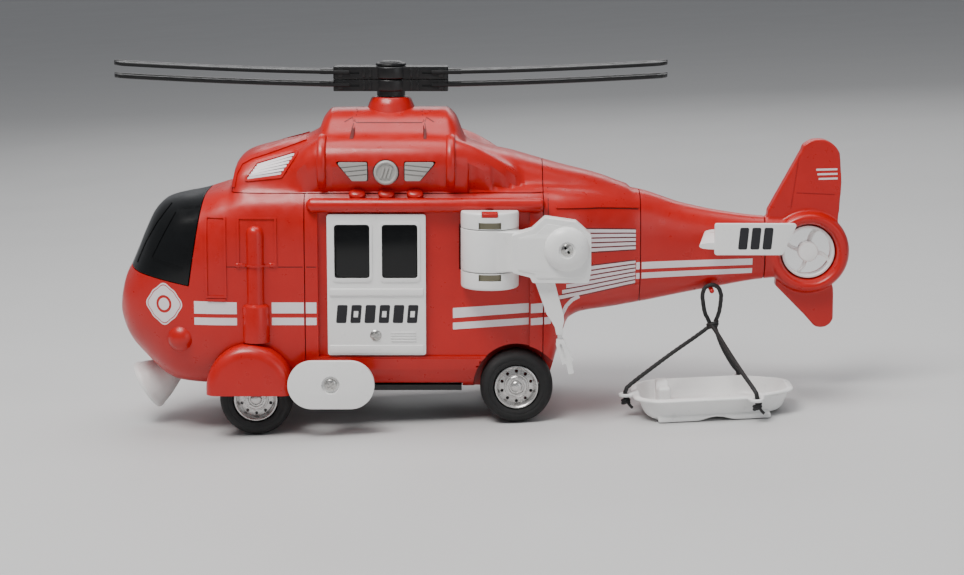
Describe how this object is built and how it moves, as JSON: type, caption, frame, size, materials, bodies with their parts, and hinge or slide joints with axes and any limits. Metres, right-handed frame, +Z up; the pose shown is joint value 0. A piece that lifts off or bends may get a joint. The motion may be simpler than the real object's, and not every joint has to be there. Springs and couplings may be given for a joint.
{
  "type": "toy helicopter",
  "caption": "Toy rescue helicopter on friction-drive wheels, with a folding rotor, sliding doors, a swinging winch with a hook, sound buttons and a stretcher on a cord sling.",
  "frame": {"origin": "on the floor, below the middle of the bounding box of the toy and its stretcher, without the sling cord", "axes": "+X towards the tail, -Y the port side with the winch and the stretcher, +Z up; the airframe stands 2.79 degrees nose-up"},
  "size_m": [0.271, 0.092, 0.1362],
  "materials": {
    "red_plastic": "glossy moulded",
    "white_plastic": "glossy moulded",
    "black_plastic": "satin moulded",
    "smoked_plastic": "polished dark glazing",
    "grey_plastic": "satin moulded",
    "silver_plastic": "silver coated",
    "tyre_rubber": "soft matt",
    "steel": "drawn bar and nickel-plated",
    "brass": "machined",
    "clear_plastic": "clear",
    "green_board": "solder-masked",
    "black_cord": "round elastic cord"
  },
  "bodies": {
    "airframe": {"engine_cowl": "red_plastic", "nose_shell": "red_plastic", "windscreen": "smoked_plastic", "cabin_port": "red_plastic", "cabin_starboard": "red_plastic", "rear_fuselage": "red_plastic", "tail_boom": "red_plastic", "tail_fin": "red_plastic", "chassis_pan": "black_plastic", "battery_cover": "black_plastic", "battery_cells": "steel", "speaker": "black_plastic", "circuit_board": "green_board", "front_fairing_port": "red_plastic", "front_fairing_starboard": "red_plastic", "foot_plate_port": "white_plastic", "foot_plate_starboard": "white_plastic", "searchlight_cup": "white_plastic", "searchlight_lens": "clear_plastic", "motor_bracket": "white_plastic", "stabiliser": "white_plastic", "winch_bracket": "white_plastic", "winch_pin": "steel"},
    "port_door": {"door_port": "white_plastic", "door_glazing_port": "smoked_plastic", "door_slider_port": "white_plastic"},
    "starboard_door": {"door_starboard": "white_plastic", "door_glazing_starboard": "smoked_plastic", "door_slider_starboard": "white_plastic"},
    "front_wheels": {"front_axle": "steel", "tyre_front_port": "tyre_rubber", "tyre_front_starboard": "tyre_rubber", "rim_front_port": "silver_plastic", "rim_front_starboard": "silver_plastic"},
    "rear_wheels": {"rear_axle": "steel", "tyre_rear_port": "tyre_rubber", "tyre_rear_starboard": "tyre_rubber", "rim_rear_port": "silver_plastic", "rim_rear_starboard": "silver_plastic", "axle_gear": "white_plastic"},
    "idler": {"idler_gear": "white_plastic"},
    "motor_flywheel": {"flywheel": "brass"},
    "rotor": {"rotor_mast": "steel", "rotor_bar_lower": "black_plastic"},
    "rotor_upper": {"rotor_bar_upper": "black_plastic", "rotor_cap": "black_plastic"},
    "tail_fan": {"tail_rotor": "white_plastic"},
    "front_button": {"sound_button_front": "grey_plastic"},
    "middle_button": {"sound_button_middle": "grey_plastic"},
    "rear_button": {"sound_button_rear": "grey_plastic"},
    "switch": {"power_switch": "black_plastic"},
    "winch": {"winch_arm": "white_plastic", "winch_cap": "white_plastic"},
    "winch_drop": {"drop_arm": "white_plastic"},
    "hook": {"rescue_hook": "white_plastic"},
    "slung_stretcher": {"stretcher": "white_plastic", "sling_loop": "black_cord", "sling_leg": "black_cord"}
  },
  "joints": [
    {"name": "port_door_slide", "type": "slide", "parent": "airframe", "child": "port_door", "axis": [0.9988, 0, -0.0487], "range_m": [0, 0.012]},
    {"name": "starboard_door_slide", "type": "slide", "parent": "airframe", "child": "starboard_door", "axis": [0.9988, 0, -0.0487], "range_m": [0, 0.026]},
    {"name": "front_wheels_spin", "type": "hinge", "parent": "airframe", "child": "front_wheels", "pos_m": [-0.08507, 0.00435, 0.01319], "axis": [0, 1, 0], "continuous": true},
    {"name": "rear_wheels_spin", "type": "hinge", "parent": "airframe", "child": "rear_wheels", "pos_m": [0.00954, 0.00435, 0.01318], "axis": [0, 1, 0], "continuous": true},
    {"name": "idler_spin", "type": "hinge", "parent": "airframe", "child": "idler", "pos_m": [0.00541, 0.00435, 0.02196], "axis": [0, 1, 0], "continuous": true},
    {"name": "flywheel_spin", "type": "hinge", "parent": "airframe", "child": "motor_flywheel", "pos_m": [-0.00397, 0.00435, 0.02443], "axis": [0, 1, 0], "continuous": true},
    {"name": "rotor_spin", "type": "hinge", "parent": "airframe", "child": "rotor", "pos_m": [-0.03121, 0.00435, 0.12009], "axis": [0.0487, 0, 0.9988], "continuous": true},
    {"name": "rotor_fold", "type": "hinge", "parent": "rotor", "child": "rotor_upper", "pos_m": [-0.03099, 0.00435, 0.12459], "axis": [0.0487, 0, 0.9988], "range_deg": [0, 90]},
    {"name": "tail_rotor_spin", "type": "hinge", "parent": "airframe", "child": "tail_fan", "pos_m": [0.12011, 0.00435, 0.05295], "axis": [0, 1, 0], "continuous": true},
    {"name": "front_button_press", "type": "slide", "parent": "airframe", "child": "front_button", "axis": [0, 1, 0], "range_m": [0, 0.0012], "stiffness_N_per_m": 600, "springref_m": -0.0004},
    {"name": "middle_button_press", "type": "slide", "parent": "airframe", "child": "middle_button", "axis": [0, 1, 0], "range_m": [0, 0.0012], "stiffness_N_per_m": 600, "springref_m": -0.0004},
    {"name": "rear_button_press", "type": "slide", "parent": "airframe", "child": "rear_button", "axis": [0, 1, 0], "range_m": [0, 0.0012], "stiffness_N_per_m": 600, "springref_m": -0.0004},
    {"name": "power_switch_slide", "type": "slide", "parent": "airframe", "child": "switch", "axis": [0.9988, 0, -0.0487], "range_m": [0, 0.004]},
    {"name": "winch_swing", "type": "hinge", "parent": "airframe", "child": "winch", "pos_m": [0.00234, -0.02725, 0.06469], "axis": [-0.0487, 0, -0.9988], "range_deg": [0, 100]},
    {"name": "drop_arm_swing", "type": "hinge", "parent": "winch", "child": "winch_drop", "pos_m": [0.02011, -0.03885, 0.05962], "axis": [0, 1, 0], "range_deg": [-70, 15]},
    {"name": "hook_swing", "type": "hinge", "parent": "winch_drop", "child": "hook", "pos_m": [0.02565, -0.03885, 0.03562], "axis": [0, 1, 0], "range_deg": [-50, 50]},
    {"name": "stretcher_lift_off", "type": "slide", "parent": "airframe", "child": "slung_stretcher", "axis": [0, -1, 0], "range_m": [0, 0.06]}
  ],
  "couplings": [
    {"joint": "idler_spin", "follows": "rear_wheels_spin", "ratio": -2},
    {"joint": "flywheel_spin", "follows": "rear_wheels_spin", "ratio": 4}
  ]
}
